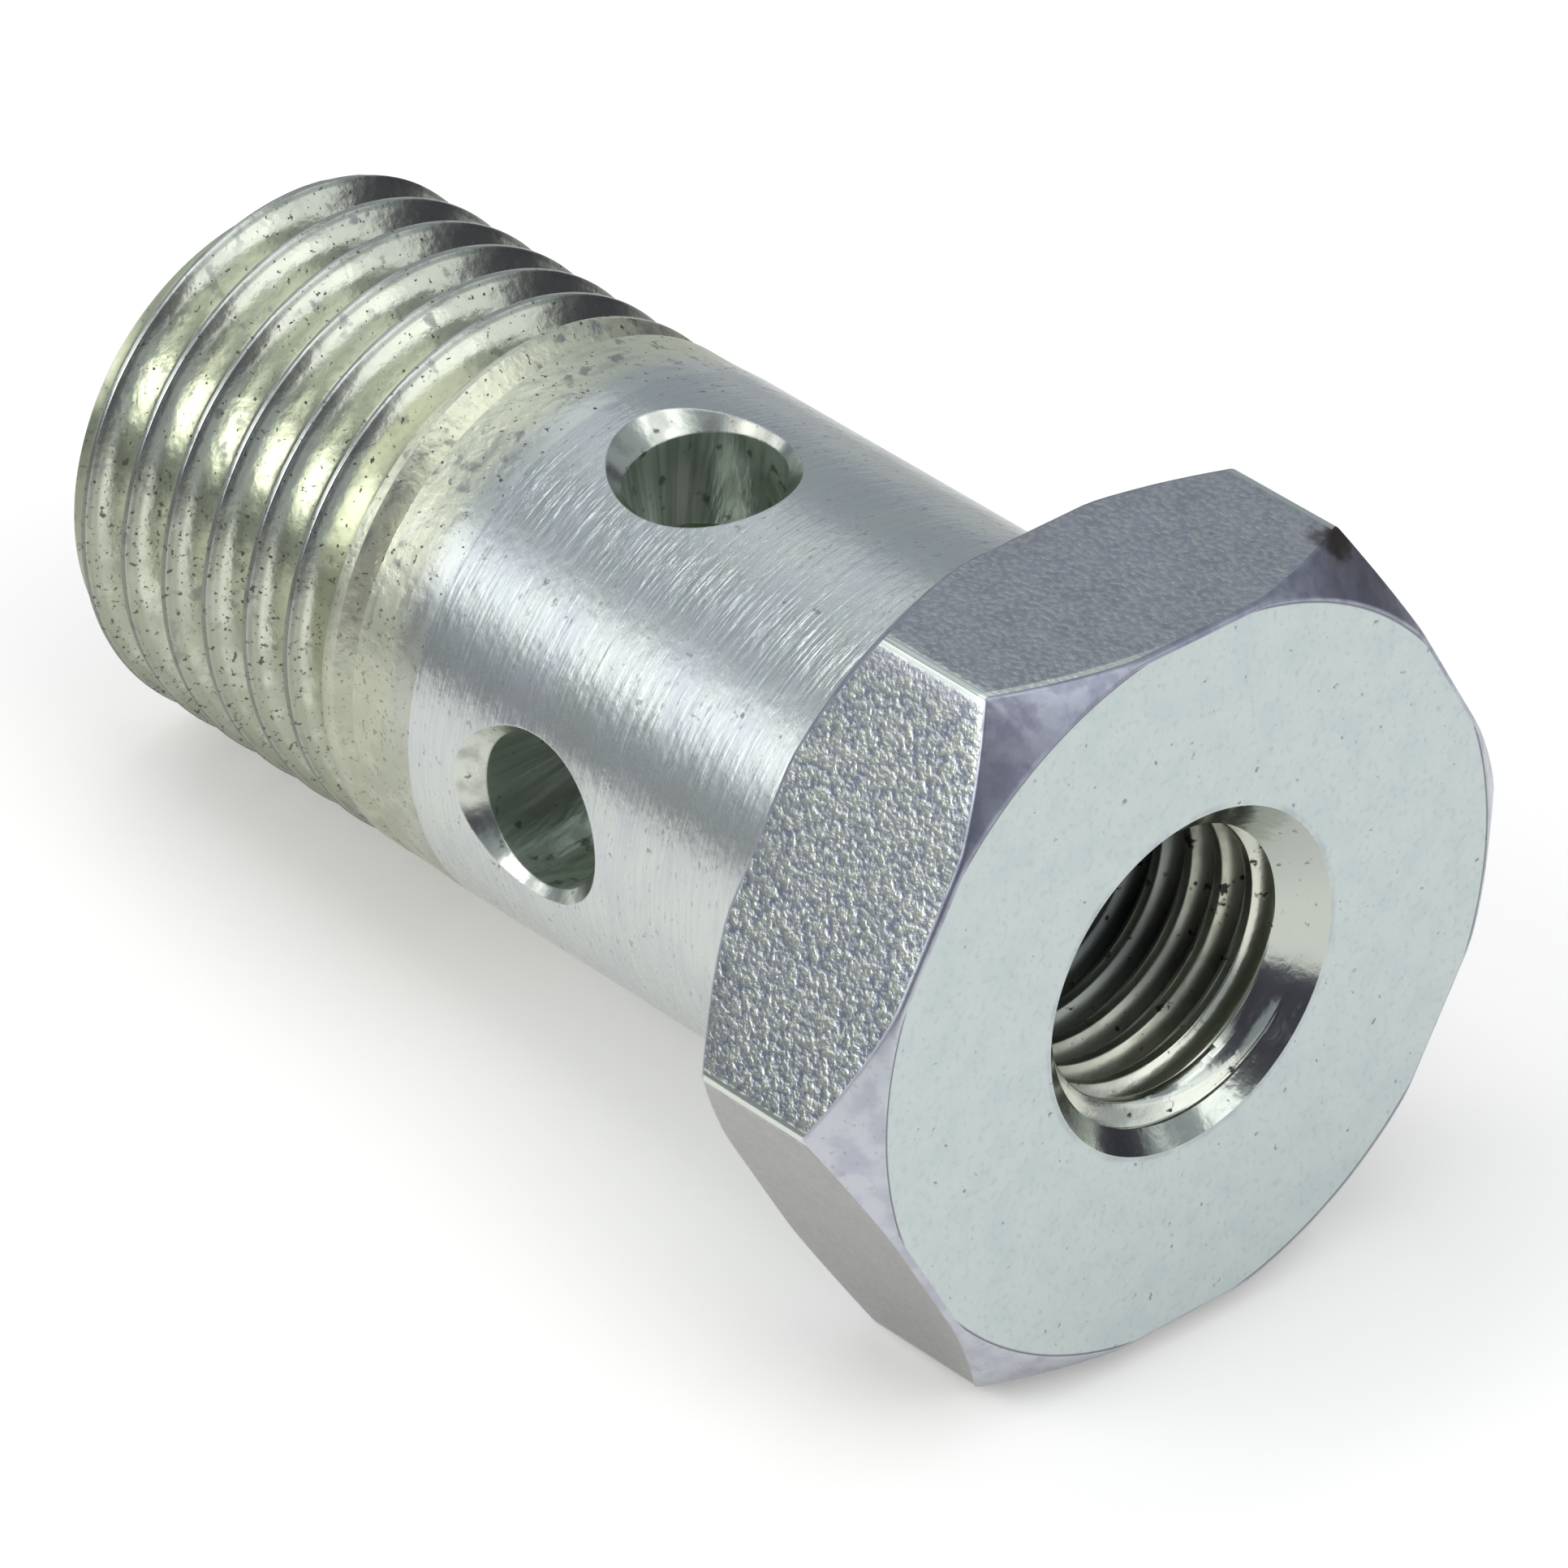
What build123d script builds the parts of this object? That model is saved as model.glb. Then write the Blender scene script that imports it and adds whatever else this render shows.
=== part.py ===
from build123d import *

import os
from math import atan2, cos, degrees, radians, sin, tan

# Banjo bolt: an M14 x 1.5 hollow bolt turned from 19 mm hexagon bar, with an M8 x 1
# tapped hole in its head. All lengths are in millimetres.
#
# Bolt frame, used by every function except lie_down:
#   Z  along the bolt, 0 at the head's front face, growing towards the thread end
#   X  square to one flat of the head, so the corners stand at 30, 90, 150 ... degrees
# Row frame: +Z up, origin under the middle of the lying bolt, thread end towards -X.

# ---- driving dimensions -------------------------------------------------------------

# Hexagon head
across_flats = 18.8          # 19 mm hexagon bar, at the bottom of its tolerance
head_height = 5.8
head_chamfer_dia = 19.0      # circle where both chamfers leave the end faces
head_chamfer_depth = 1.2     # height of the chamfer at the corners

# Shank and threaded end
shank_length = 26.9          # from the seat face to the thread end
shank_dia = 14.0
seat_fillet = 0.3            # where the shank meets the seat face
thread_major_dia = 13.9      # M14 x 1.5, class 6g crest
thread_length = 12.0
thread_runout = 1.0          # cone from the crest up to the shank
thread_end_chamfer = 1.0

# Tapped hole in the head, M8 x 1
tap_minor_dia = 6.92
tap_length = 12.0            # from the front face to the shoulder inside
mouth_dia = 8.8
mouth_angle = 90.0           # included angle of the countersink

# Axial bore, drilled from the thread end until it meets the tapped hole
bore_dia = 8.0
drill_point_angle = 118.0
bore_end_chamfer = 0.5

# Two cross drillings, each passing through both walls of the shank
cross_dia = 3.9
cross_mouth_dia = 5.0        # countersink, measured along the bolt
cross_mouth_angle = 90.0
first_cross_station = 10.0   # from the seat face
first_cross_turn = -6.3      # degrees round from the top flat's normal
second_cross_station = 9.3
second_cross_turn = -89.0

# ---- derived dimensions -------------------------------------------------------------

flat_radius = across_flats / 2
corner_radius = flat_radius / cos(radians(30))
shank_radius = shank_dia / 2
crest_radius = thread_major_dia / 2
bore_radius = bore_dia / 2
tap_radius = tap_minor_dia / 2
total_length = head_height + shank_length
thread_start = total_length - thread_length
chamfer_start = total_length - thread_end_chamfer

# How the bolt comes to rest: on the seat-side edge of one flat and on the rim where the
# thread end's chamfer begins, its axis falling by this angle towards the thread end.
rest_fall = atan2(flat_radius - crest_radius, chamfer_start - head_height)


def head_blank():
    """Hexagon bar cut to the head's height, both ends chamfered by one turned outline."""
    prism = extrude(RegularPolygon(flat_radius, 6, major_radius=False), head_height)
    prism = Rot(Z=hexagon_turn(prism)) * prism
    chamfer_radius = head_chamfer_dia / 2
    slope = head_chamfer_depth / (corner_radius - chamfer_radius)
    reach = corner_radius + 1.0
    depth = slope * (reach - chamfer_radius)
    outline = Polyline(
        (0, 0),
        (chamfer_radius, 0),
        (reach, depth),
        (reach, head_height - depth),
        (chamfer_radius, head_height),
        (0, head_height),
        close=True,
    )
    return prism & turned(outline)


def hexagon_turn(prism):
    """Angle that brings the nearest flat of a hexagonal prism square to the X axis."""
    sides = [face for face in prism.faces() if abs(face.normal_at().Z) < 0.5]
    normal = sides[0].normal_at()
    return -degrees(atan2(normal.Y, normal.X)) % 60


def turned(outline):
    """Solid of revolution from a closed outline whose X is radius and Y is station."""
    return revolve(Plane.XZ * make_face(outline), Axis.Z)


def shank_blank():
    """Shank, thread cylinder at crest diameter and end chamfer, with the seat fillet."""
    fillet_start = (shank_radius + seat_fillet, head_height)
    fillet_end = (shank_radius, head_height + seat_fillet)
    root = RadiusArc(fillet_start, fillet_end, seat_fillet)
    rest = Polyline(
        fillet_end,
        (shank_radius, thread_start - thread_runout),
        (crest_radius, thread_start),
        (crest_radius, chamfer_start),
        (crest_radius - thread_end_chamfer, total_length),
        (0, total_length),
        (0, head_height / 2),
        (shank_radius + seat_fillet, head_height / 2),
        fillet_start,
    )
    return turned([root, rest])


def axial_bores():
    """The tapped hole from the head and the bore from the thread end, as one solid."""
    mouth_radius = mouth_dia / 2
    mouth_depth = (mouth_radius - tap_radius) / tan(radians(mouth_angle / 2))
    point_depth = (bore_radius - tap_radius) / tan(radians(drill_point_angle / 2))
    outline = Polyline(
        (0, 0),
        (mouth_radius, 0),
        (tap_radius, mouth_depth),
        (tap_radius, tap_length),
        (bore_radius, tap_length + point_depth),
        (bore_radius, total_length - bore_end_chamfer),
        (bore_radius + bore_end_chamfer, total_length),
        (0, total_length),
        close=True,
    )
    return turned(outline)


def cross_drilling(station, turn):
    """Drill through both walls of the shank, with a countersink at each mouth."""
    radius = cross_dia / 2
    mouth_radius = cross_mouth_dia / 2
    slope = tan(radians(cross_mouth_angle / 2))
    sink_depth = (mouth_radius - radius) / slope
    clearance = 1.0
    outline = Polyline(
        (0, 0),
        (radius, 0),
        (radius, shank_radius - sink_depth),
        (mouth_radius + clearance * slope, shank_radius + clearance),
        (0, shank_radius + clearance),
        close=True,
    )
    half = turned(outline)
    through = half + Rot(X=180) * half
    return Pos(Z=head_height + station) * Rot(Z=turn) * Rot(Y=90) * through


def banjo_bolt():
    """The finished bolt in its own frame."""
    bolt = head_blank() + shank_blank()
    bolt -= axial_bores()
    bolt -= cross_drilling(first_cross_station, first_cross_turn)
    bolt -= cross_drilling(second_cross_station, second_cross_turn)
    return bolt


def lie_down(bolt):
    """Lay the bolt as it rests on a floor at Z = 0, centred over the origin."""
    fall = rest_fall
    lying = Plane(
        origin=(0, 0, 0),
        x_dir=(-sin(fall), 0, cos(fall)),
        z_dir=(-cos(fall), 0, -sin(fall)),
    )
    axis_height = flat_radius * cos(fall) + head_height * sin(fall)
    front = flat_radius * sin(fall)
    end_radius = crest_radius - thread_end_chamfer
    back = total_length * cos(fall) + end_radius * sin(fall)
    return Pos((back - front) / 2, 0, axis_height) * (lying.location * bolt)


os.makedirs("parts", exist_ok=True)
export_step(lie_down(banjo_bolt()), "parts/banjo_bolt.step")
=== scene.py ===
"""Looks of a zinc-plated banjo bolt, M14 x 1.5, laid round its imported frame.

The bolt is one turned piece. Its skin is a set of grids that run round the bolt's axis:
head, shank, threaded end, bores and tapped hole. The grids meet on shared rings, and the
two cross drillings are then cut through the closed skin.

Lengths are millimetres in the bolt's own frame, whose Z runs along the axis from the
head's front face and whose X is square to the top flat. BoltFrame lays the finished
mesh down in the row frame, in metres.
"""

import logging
import math
from dataclasses import dataclass
from enum import Enum
from typing import Any, Callable, Sequence

import bmesh
import bpy
import numpy as np
from bpy.types import Material, Mesh, NodeSocket, NodeTree, Object
from mathutils import Matrix, Quaternion, Vector


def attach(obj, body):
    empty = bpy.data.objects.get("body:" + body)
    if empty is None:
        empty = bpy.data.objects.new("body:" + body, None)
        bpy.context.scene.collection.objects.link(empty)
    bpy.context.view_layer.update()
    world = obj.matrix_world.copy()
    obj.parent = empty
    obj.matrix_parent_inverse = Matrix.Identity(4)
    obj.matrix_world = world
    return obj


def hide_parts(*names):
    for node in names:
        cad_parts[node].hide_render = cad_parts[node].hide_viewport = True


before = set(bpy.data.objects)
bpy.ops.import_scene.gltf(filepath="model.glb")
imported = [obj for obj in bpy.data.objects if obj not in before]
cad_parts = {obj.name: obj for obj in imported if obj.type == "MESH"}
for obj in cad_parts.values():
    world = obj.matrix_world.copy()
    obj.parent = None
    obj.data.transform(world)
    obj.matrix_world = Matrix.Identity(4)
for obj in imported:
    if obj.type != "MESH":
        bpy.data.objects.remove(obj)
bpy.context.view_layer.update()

METRE = 0.001  # one millimetre, in metres
WELD = 1e-4  # points closer than this, in millimetres, become one

Points = tuple[np.ndarray, np.ndarray]  # radius and station of each point
Outline = Callable[[np.ndarray], np.ndarray]  # a length at each station

log = logging.getLogger("banjo_bolt")


def put(name: str, data: Any) -> Object:
    """Put a new object in the scene.

    Args:
        name: name of the object.
        data: its mesh, lamp or camera.

    Returns:
        The object.
    """
    thing = bpy.data.objects.new(name, data)
    bpy.context.scene.collection.objects.link(thing)
    return thing


# ---- sizes ----


@dataclass(frozen=True)
class BoltSizes:
    """Driving dimensions of the bolt, as its drawing gives them."""

    across_flats: float = 18.8
    head_height: float = 5.8
    head_chamfer_dia: float = 19.0
    head_chamfer_depth: float = 1.2
    shank_length: float = 26.9
    shank_dia: float = 14.0
    seat_fillet: float = 0.3
    thread_major_dia: float = 13.9
    thread_length: float = 12.0
    thread_runout: float = 1.0
    thread_end_chamfer: float = 1.0
    tap_minor_dia: float = 6.92
    tap_length: float = 12.0
    mouth_dia: float = 8.8
    bore_dia: float = 8.0
    drill_point_angle: float = 118.0
    bore_end_chamfer: float = 0.5
    cross_dia: float = 3.9
    cross_mouth_dia: float = 5.0
    first_cross_station: float = 10.0
    first_cross_turn: float = -6.3
    second_cross_station: float = 9.3
    second_cross_turn: float = -89.0

    @property
    def flat_radius(self) -> float:
        """Distance from the axis to a flat."""
        return self.across_flats / 2

    @property
    def corner_radius(self) -> float:
        """Distance from the axis to a sharp corner of the hexagon."""
        return self.flat_radius / math.cos(math.radians(30))

    @property
    def total_length(self) -> float:
        """From the head's front face to the thread end."""
        return self.head_height + self.shank_length

    @property
    def thread_start(self) -> float:
        """Station where the thread reaches its full crest diameter."""
        return self.total_length - self.thread_length

    @property
    def chamfer_start(self) -> float:
        """Station where the thread end's chamfer begins."""
        return self.total_length - self.thread_end_chamfer


@dataclass(frozen=True)
class BoltFrame:
    """How the bolt lies at rest: on one flat's seat-side edge and the thread end's rim."""

    sizes: BoltSizes

    @property
    def fall(self) -> float:
        """How far the axis falls towards the thread end.

        Returns:
            The angle, in radians.
        """
        s = self.sizes
        drop = s.flat_radius - s.thread_major_dia / 2
        return math.atan2(drop, s.chamfer_start - s.head_height)

    @property
    def matrix(self) -> Matrix:
        """Lay the bolt down.

        Returns:
            The matrix from the bolt frame in millimetres to the row frame in metres.
        """
        s, fall = self.sizes, self.fall
        sine, cosine = math.sin(fall), math.cos(fall)
        height = s.flat_radius * cosine + s.head_height * sine
        front = s.flat_radius * sine
        end_radius = s.thread_major_dia / 2 - s.thread_end_chamfer
        back = s.total_length * cosine + end_radius * sine
        rows = (
            (-sine, 0.0, -cosine, (back - front) / 2),
            (0.0, 1.0, 0.0, 0.0),
            (cosine, 0.0, -sine, height),
            (0.0, 0.0, 0.0, 1.0 / METRE),
        )
        return Matrix([[value * METRE for value in row] for row in rows])

    @property
    def chamfer_slope(self) -> float:
        """Station that the head's front chamfer gains for each step of radius."""
        s = self.sizes
        return s.head_chamfer_depth / (s.corner_radius - s.head_chamfer_dia / 2)


# ---- skin of grids ----


class Zone(Enum):
    """Parts of the skin that were made in different ways, one material slot each."""

    FACED = 0
    CHAMFERED = 1
    DRAWN = 2
    TURNED = 3
    THREADED = 4
    BORED = 5
    TAPPED = 6
    COUNTERSUNK = 7
    DRILLED = 8


@dataclass(frozen=True)
class Columns:
    """Angles round the bolt at which each ring of the skin has a point."""

    sizes: BoltSizes
    corner_rounding: float = 0.15
    steps_per_flat: int = 28

    @property
    def _corner_centre(self) -> float:
        """Distance from the axis to the centre of a corner's rounding."""
        return (self.sizes.flat_radius - self.corner_rounding) / math.cos(math.radians(30))

    @property
    def _tangent_angle(self) -> float:
        """Angle from a flat's middle to where its corner rounding begins, in degrees."""
        half_side = self._corner_centre * math.sin(math.radians(30))
        return math.degrees(math.atan2(half_side, self.sizes.flat_radius))

    def angles(self) -> np.ndarray:
        """Work out where the columns stand.

        Returns:
            Their angles, in radians, from the top flat's middle.
        """
        edge = self._tangent_angle
        flat = np.linspace(-edge, edge, self.steps_per_flat + 1)
        corner = np.linspace(edge, 60.0 - edge, 5)[1:-1]
        sector = np.concatenate([flat, corner])
        turns = [sector + 60.0 * side for side in range(6)]
        return np.radians(np.concatenate(turns))

    def hexagon(self) -> np.ndarray:
        """Work out the hexagon with its rounded corners.

        Returns:
            Its radius at each column.
        """
        off = (np.degrees(self.angles()) + 30.0) % 60.0 - 30.0
        off = np.abs(off)
        flat = self.sizes.flat_radius / np.cos(np.radians(off))
        away = np.radians(30.0 - off)
        centre, rounding = self._corner_centre, self.corner_rounding
        inside = np.maximum(rounding**2 - (centre * np.sin(away)) ** 2, 0.0)
        corner = centre * np.cos(away) + np.sqrt(inside)
        return np.where(off > self._tangent_angle, corner, flat)


class TurnedSkin:
    """Gathers grids of points laid round the axis and joins them into one closed mesh."""

    def __init__(self, columns: Columns) -> None:
        """Start an empty skin.

        Args:
            columns: the angles that every grid shares.
        """
        self.angles = columns.angles()
        self.hexagon = columns.hexagon()
        self._points: list[np.ndarray] = []
        self._faces: list[np.ndarray] = []
        self._zones: list[np.ndarray] = []
        self._count = 0

    def ring(self, radius: float, station: float) -> Points:
        """One ring of constant radius and station, at every column."""
        ones = np.ones(len(self.angles))
        return radius * ones, station * ones

    def add(
        self,
        rings: Sequence[Points],
        zone: Zone,
        rows_per_turn: int = 0,
    ) -> None:
        """Add one grid.

        Args:
            rings: radius and station at every column, ring after ring.
            zone: the zone of its faces.
            rows_per_turn: how many rows a ring moves on in one turn; 0 for plain rings.
        """
        radius = np.stack([ring[0] for ring in rings], axis=1)
        station = np.stack([ring[1] for ring in rings], axis=1)
        columns, rows = radius.shape
        turn = self.angles[:, None]
        points = np.stack([radius * np.cos(turn), radius * np.sin(turn), station], axis=-1)
        column, row = np.meshgrid(np.arange(columns), np.arange(rows - 1), indexing="ij")
        after = (column + 1) % columns
        shift = np.where(column == columns - 1, rows_per_turn, 0)
        low = np.clip(row + shift, 0, rows - 1)
        high = np.clip(row + 1 + shift, 0, rows - 1)
        corners = [(column, row), (after, low), (after, high), (column, row + 1)]
        faces = np.stack([c * rows + r for c, r in corners], axis=-1)
        zones = np.full(faces.shape[:2], zone.value)
        self._points.append(points.reshape(-1, 3))
        self._faces.append(faces.reshape(-1, 4) + self._count)
        self._zones.append(zones.reshape(-1))
        self._count += columns * rows

    def mesh(self, name: str) -> Mesh:
        """Join the grids.

        Args:
            name: name of the mesh.

        Returns:
            A closed mesh in the bolt frame, in millimetres.
        """
        points = np.concatenate(self._points)
        faces = np.concatenate(self._faces)
        zones = np.concatenate(self._zones)
        joined = bpy.data.meshes.new(name)
        joined.from_pydata(points.tolist(), [], faces.tolist())
        joined.polygons.foreach_set("material_index", zones.astype(np.int32))
        work = bmesh.new()
        work.from_mesh(joined)
        bmesh.ops.remove_doubles(work, verts=work.verts, dist=WELD)
        bmesh.ops.dissolve_degenerate(work, edges=work.edges, dist=WELD)
        work.to_mesh(joined)
        work.free()
        return joined


def between(first: float, last: float, steps: int) -> np.ndarray:
    """Values from the first to the last in equal steps, both included."""
    return np.linspace(first, last, steps + 1)


# ---- the bolt's parts ----


@dataclass(frozen=True)
class HexagonHead:
    """Hexagon head, both ends chamfered on the lathe, its edges slightly rounded."""

    sizes: BoltSizes
    edge_rounding: float = 0.15
    mouth_rounding: float = 0.08
    arc_steps: int = 3
    face_reach: float = 9.0  # radius of the last plain ring of the front face
    seat_rings: tuple[float, float] = (8.8, 8.0)  # radii of the seat's plain rings

    def lay(self, skin: TurnedSkin) -> None:
        """Add the head's grids to the skin, from the mouth of the hole to the seat.

        Args:
            skin: the skin that takes them.
        """
        s = self.sizes
        mouth = s.mouth_dia / 2 + self.mouth_rounding
        front = self._edge_rings(skin)
        back = [(radius, s.head_height - station) for radius, station in front[::-1]]
        face = [skin.ring(r, 0.0) for r in between(mouth, self.face_reach, 4)]
        skin.add(face + front[:1], Zone.FACED)
        skin.add(front, Zone.CHAMFERED)
        sides = [
            (front[-1][0], front[-1][1] + (back[0][1] - front[-1][1]) * share)
            for share in between(0.0, 1.0, 4)
        ]
        skin.add(sides, Zone.DRAWN)
        skin.add(back, Zone.CHAMFERED)
        seat = s.shank_dia / 2 + s.seat_fillet
        under = [skin.ring(r, s.head_height) for r in (*self.seat_rings, seat)]
        skin.add([back[-1]] + under, Zone.FACED)

    def _edge_rings(self, skin: TurnedSkin) -> list[Points]:
        """Rings from the front face over the chamfer to the flats.

        Each corner is an arc round the corner of the outline drawn in by the rounding,
        so it also closes where the chamfer runs out at the middle of a flat.

        Args:
            skin: the skin whose columns are used.

        Returns:
            Radius and station at every column, ring after ring.
        """
        s, rounding = self.sizes, self.edge_rounding
        inner = s.head_chamfer_dia / 2
        lean = math.atan2(s.head_chamfer_depth, s.corner_radius - inner)
        radius = skin.hexagon - rounding
        depth = ((radius - inner) * math.sin(lean) + rounding) / math.cos(lean)
        runs_out = depth < rounding
        first_radius = np.where(runs_out, radius, inner - rounding * math.tan(lean / 2))
        first_depth = np.full_like(radius, rounding)
        second_depth = np.where(runs_out, rounding, depth)
        first = between(0.0, lean, self.arc_steps)
        second = between(lean, math.pi / 2, self.arc_steps)
        rings = [self._on_arc(first_radius, first_depth, turn) for turn in first]
        return rings + [self._on_arc(radius, second_depth, turn) for turn in second]

    def _on_arc(self, radius: np.ndarray, station: np.ndarray, turn: float) -> Points:
        """Points round a rounding's centre, where its normal has turned from the axis."""
        reach = self.edge_rounding
        return radius + reach * math.sin(turn), station - reach * math.cos(turn)


@dataclass(frozen=True)
class Shank:
    """Plain turned shank between the seat fillet and the thread's run-out."""

    sizes: BoltSizes
    end: float
    fillet_steps: int = 4
    rows: int = 12

    def lay(self, skin: TurnedSkin) -> None:
        """Add the fillet and the shank.

        Args:
            skin: the skin that takes them.
        """
        s = self.sizes
        radius, fillet = s.shank_dia / 2, s.seat_fillet
        rings = []
        for turn in between(0.0, math.pi / 2, self.fillet_steps):
            out, down = 1.0 - math.sin(turn), 1.0 - math.cos(turn)
            rings.append(skin.ring(radius + fillet * out, s.head_height + fillet * down))
        stations = between(s.head_height + fillet, self.end, self.rows)
        rings += [skin.ring(radius, station) for station in stations[1:]]
        skin.add(rings, Zone.TURNED)


@dataclass(frozen=True)
class ThreadForm:
    """A 60 degree thread as a helical ridge, its crest and root rounded."""

    pitch: float
    crest_radius: float
    depth: float
    crest_flat: float
    crest_rounding: float
    root_rounding: float

    def half_profile(self) -> list[tuple[float, float]]:
        """Half a ridge, from the middle of its crest to the middle of the root.

        Returns:
            Offset along the axis and depth below the crest of each point.
        """
        flank = math.radians(60.0)
        crest_reach = self.crest_rounding * math.tan(flank / 2)
        corner = self.crest_flat / 2
        points = [(0.0, 0.0)]
        for turn in between(0.0, flank, 2):
            across = corner - crest_reach + self.crest_rounding * math.sin(turn)
            points.append((across, self.crest_rounding * (1.0 - math.cos(turn))))
        arc = []
        for turn in between(flank, 0.0, 3):
            across = self.pitch / 2 - self.root_rounding * math.sin(turn)
            arc.append((across, self.depth - self.root_rounding * (1.0 - math.cos(turn))))
        (across, depth), (far, deep) = points[-1], arc[0]
        for share in (1 / 3, 2 / 3):
            points.append((across + (far - across) * share, depth + (deep - depth) * share))
        return points + arc

    def turn_profile(self) -> list[tuple[float, float]]:
        """One whole pitch of the ridge, the last point left to the next turn.

        Returns:
            Offset along the axis and depth below the crest of each point.
        """
        half = self.half_profile()
        back = [(self.pitch - across, depth) for across, depth in half[::-1]]
        return half + back[1:-1]


@dataclass(frozen=True)
class HelicalRows:
    """Rows that follow a thread round, kept between two plain end rings."""

    form: ThreadForm
    start: float
    end: float
    crest_station: float

    def rings(
        self,
        skin: TurnedSkin,
        sign: float,
        lift: Outline,
        limit: Outline,
    ) -> tuple[list[Points], int]:
        """Rings of the thread, cut to the turned surface it runs out in.

        Args:
            skin: the skin whose columns are used.
            sign: 1 for a thread on a rod and -1 for one in a hole.
            lift: how far the tool has backed out of the metal at a station.
            limit: radius of the turned surface at a station.

        Returns:
            The rings in order of station, and the rows in one turn.
        """
        profile = self.form.turn_profile()
        pitch = self.form.pitch
        along = pitch * skin.angles / (2.0 * math.pi)
        first = math.floor((self.start - self.crest_station) / pitch) - 1
        last = math.ceil((self.end - self.crest_station) / pitch) + 1
        radii, stations = [], []
        for turn in range(first, last):
            for across, depth in profile:
                station = self.crest_station + turn * pitch + across + along
                low = depth - lift(station)
                radii.append(self.form.crest_radius - sign * low)
                stations.append(station)
        radius, station = np.stack(radii, axis=1), np.stack(stations, axis=1)
        radius, station = self._cut_to(limit, sign, radius, station)
        radius = np.where(station <= self.start, limit(np.array(self.start)), radius)
        radius = np.where(station >= self.end, limit(np.array(self.end)), radius)
        station = np.clip(station, self.start, self.end)
        rows = station.shape[1]
        return [(radius[:, row], station[:, row]) for row in range(rows)], len(profile)

    @staticmethod
    def _cut_to(
        limit: Outline,
        sign: float,
        radius: np.ndarray,
        station: np.ndarray,
    ) -> Points:
        """Bring points beyond the turned surface back on it, with a clean crossing.

        Args:
            limit: radius of the turned surface at a station.
            sign: 1 where metal lies inside it, and -1 where it lies outside.
            radius: radius of each point, column by row.
            station: station of each point.

        Returns:
            Radius and station of the cut points.
        """
        over = sign * (radius - limit(station))
        beyond = over > 0.0
        step = over[:, 1:] - over[:, :-1]
        share = np.clip(-over[:, :-1] / np.where(step == 0.0, 1.0, step), 0.0, 1.0)
        crossing = station[:, :-1] + share * (station[:, 1:] - station[:, :-1])
        new_station = station.copy()
        entering = ~beyond[:, :-1] & beyond[:, 1:]
        leaving = beyond[:, :-1] & ~beyond[:, 1:]
        new_station[:, 1:] = np.where(entering, crossing, new_station[:, 1:])
        new_station[:, :-1] = np.where(leaving, crossing, new_station[:, :-1])
        new_radius = np.where(beyond, limit(new_station), radius)
        return new_radius, new_station


@dataclass(frozen=True)
class ThreadedEnd:
    """M14 x 1.5 thread, its run-out towards the shank and the chamfered end."""

    sizes: BoltSizes
    start: float
    pitch: float = 1.5
    crest_station: float = 0.12
    runout_start: float = 20.7
    runout_end: float = 22.6
    depth_share: float = 0.62  # groove depth for each step of pitch
    crest_flat: float = 0.13
    crest_rounding: float = 0.04
    root_rounding: float = 0.16
    full_lift: float = 1.1  # how far the tool backs out, in groove depths
    most_share: float = 1.2  # how far it goes on beyond the run-out's start
    beyond: float = 9.0  # how far the blank's cone is carried past the end

    @property
    def form(self) -> ThreadForm:
        """Work the thread out from its pitch.

        Returns:
            The thread's form.
        """
        return ThreadForm(
            pitch=self.pitch,
            crest_radius=self.sizes.thread_major_dia / 2,
            depth=self.depth_share * self.pitch,
            crest_flat=self.crest_flat,
            crest_rounding=self.crest_rounding,
            root_rounding=self.root_rounding,
        )

    def _blank(self, station: np.ndarray) -> np.ndarray:
        """Radius of the turned blank before threading.

        Args:
            station: distances along the axis.

        Returns:
            The blank's radius at each of them.
        """
        s = self.sizes
        stations = [
            0.0,
            s.thread_start - s.thread_runout,
            s.thread_start,
            s.chamfer_start,
            s.total_length,
            s.total_length + self.beyond,
        ]
        shank, crest = s.shank_dia / 2, s.thread_major_dia / 2
        end = crest - s.thread_end_chamfer
        return np.interp(station, stations, [shank, shank, crest, crest, end, end - self.beyond])

    def _lift(self, station: np.ndarray) -> np.ndarray:
        """How far the tool has backed out: all the way at the run-out's start."""
        share = (self.runout_end - station) / (self.runout_end - self.runout_start)
        return self.full_lift * self.form.depth * np.clip(share, 0.0, self.most_share)

    def lay(self, skin: TurnedSkin) -> None:
        """Add the thread and the end face.

        Args:
            skin: the skin that takes them.
        """
        s = self.sizes
        rows = HelicalRows(self.form, self.start, s.total_length, self.crest_station)
        rings, turn = rows.rings(skin, 1.0, self._lift, self._blank)
        skin.add(rings, Zone.THREADED, turn)
        outer = s.thread_major_dia / 2 - s.thread_end_chamfer
        inner = s.bore_dia / 2 + s.bore_end_chamfer
        skin.add([skin.ring(r, s.total_length) for r in between(outer, inner, 2)], Zone.CHAMFERED)


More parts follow.
